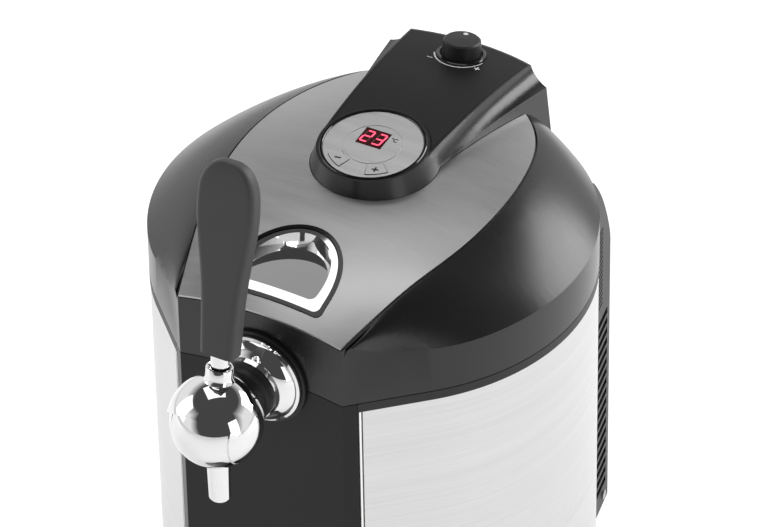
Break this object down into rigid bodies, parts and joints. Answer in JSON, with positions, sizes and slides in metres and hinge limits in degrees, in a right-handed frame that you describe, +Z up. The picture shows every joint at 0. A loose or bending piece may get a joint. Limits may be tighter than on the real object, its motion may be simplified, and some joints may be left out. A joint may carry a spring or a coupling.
{
  "type": "mini keg beer dispenser",
  "caption": "Cooled cabinet for a five litre keg: steel body, hinged dark lid with round display, ball tap with paddle handle and drip tray.",
  "frame": {"origin": "on the floor, in the middle of the box that bounds the whole dispenser", "axes": "+Z up, front with the tap towards -Y, +X to the right seen from behind the tap looking at the front from -Y"},
  "size_m": [0.27, 0.431, 0.4943],
  "materials": {
    "brushed_jacket": "brushed",
    "black_moulding": "fine matt",
    "front_moulding": "fine matt",
    "bright_bead": "satin",
    "black_rubber": "matt",
    "white_foam": "porous",
    "liner_metal": "satin",
    "module_ceramic": "matt",
    "fan_moulding": "matt",
    "screw_steel": "plain",
    "board": "lacquered",
    "pin_steel": "ground",
    "bright_chrome": "polished",
    "soft_grip": "soft touch",
    "clear_hose": "smooth",
    "lid_moulding": "satin",
    "brushed_plate": "brushed",
    "black_panel": "matt",
    "black_gloss": "polished",
    "silver_disc": "fine brushed",
    "dark_window": "polished",
    "regulator_brass": "machined",
    "cartridge_steel": "plated",
    "seal_rubber": "matt"
  },
  "bodies": {
    "cabinet": {"base_moulding": "black_moulding", "rubber_feet": "black_rubber", "steel_wrap": "brushed_jacket", "front_panel": "front_moulding", "panel_beads": "bright_bead", "top_deck": "black_moulding", "insulation": "white_foam", "chamber_liner": "liner_metal", "keg_seat": "black_rubber", "cold_block": "liner_metal", "peltier_module": "module_ceramic", "heat_sink": "liner_metal", "fan_frame": "fan_moulding", "rear_housing": "black_moulding", "housing_screws": "screw_steel", "power_inlet": "black_moulding", "power_board": "board", "hinge_brackets": "black_moulding", "hinge_pin": "pin_steel", "latch_catches": "black_moulding", "collar_ring": "black_moulding", "tap_collar": "bright_chrome", "coupling_ring": "black_moulding", "tap_shank": "bright_chrome", "shank_nut": "regulator_brass", "tap_body": "bright_chrome", "keg_coupler": "black_moulding", "beer_hose": "clear_hose"},
    "lid": {"lid_shell": "lid_moulding", "top_plate": "brushed_plate", "spine_panel": "black_panel", "lid_inner_cover": "black_moulding", "lid_gasket": "seal_rubber", "display_ring": "black_gloss", "display_disc": "silver_disc", "led_window": "dark_window", "display_board": "board", "release_bezel": "black_gloss", "knob_ring": "black_gloss", "regulator_body": "regulator_brass", "cartridge_sleeve": "black_moulding", "gas_cartridge": "cartridge_steel", "gas_hose": "black_rubber", "gas_plug": "black_moulding"},
    "release": {"release_button": "bright_chrome"},
    "latch": {"latch_bar": "black_moulding"},
    "minus": {"minus_key": "silver_disc"},
    "plus": {"plus_key": "silver_disc"},
    "knob": {"regulator_knob": "black_moulding"},
    "lever": {"tap_cap": "bright_chrome", "lever_rod": "bright_chrome", "tap_handle": "soft_grip"},
    "plunger": {"valve_plunger": "pin_steel"},
    "tray": {"drip_tray": "black_moulding"},
    "grate": {"drip_grate": "brushed_jacket"},
    "fan": {"fan_rotor": "fan_moulding"},
    "rocker": {"power_switch": "black_gloss"}
  },
  "joints": [
    {"name": "lid_hinge", "type": "hinge", "parent": "cabinet", "child": "lid", "pos_m": [0, 0.179, 0.32], "axis": [-1, 0, 0], "range_deg": [0, 80]},
    {"name": "release_press", "type": "slide", "parent": "lid", "child": "release", "axis": [0, 0, -1], "range_m": [0, 0.003], "stiffness_N_per_m": 900, "springref_m": -0.004},
    {"name": "latch_slide", "type": "slide", "parent": "lid", "child": "latch", "axis": [0, 1, 0], "range_m": [0, 0.003]},
    {"name": "minus_press", "type": "slide", "parent": "lid", "child": "minus", "axis": [0, 0.0924, -0.9957], "range_m": [0, 0.0005], "stiffness_N_per_m": 300},
    {"name": "plus_press", "type": "slide", "parent": "lid", "child": "plus", "axis": [0, 0.0924, -0.9957], "range_m": [0, 0.0005], "stiffness_N_per_m": 300},
    {"name": "pressure_knob", "type": "hinge", "parent": "lid", "child": "knob", "pos_m": [0, 0.1495, 0.40275], "axis": [0, 0.1392, 0.9903], "range_deg": [0, 270]},
    {"name": "tap_lever", "type": "hinge", "parent": "cabinet", "child": "lever", "pos_m": [0, -0.145, 0.326], "axis": [1, 0, 0], "range_deg": [0, 45]},
    {"name": "plunger_slide", "type": "slide", "parent": "cabinet", "child": "plunger", "axis": [0, -1, 0], "range_m": [0, 0.006]},
    {"name": "tray_slide", "type": "slide", "parent": "cabinet", "child": "tray", "axis": [0, -1, 0], "range_m": [0, 0.06]},
    {"name": "grate_lift", "type": "slide", "parent": "tray", "child": "grate", "axis": [0, 0, 1], "range_m": [0, 0.03]},
    {"name": "fan_spin", "type": "hinge", "parent": "cabinet", "child": "fan", "pos_m": [0, 0.1995, 0.162], "axis": [0, 1, 0], "continuous": true},
    {"name": "power_rocker", "type": "hinge", "parent": "cabinet", "child": "rocker", "pos_m": [0, 0.2085, 0.09], "axis": [1, 0, 0], "range_deg": [0, 14]}
  ],
  "couplings": [
    {"joint": "latch_slide", "follows": "release_press", "ratio": 1},
    {"joint": "plunger_slide", "follows": "tap_lever", "m_per_rad": 0.0075}
  ]
}
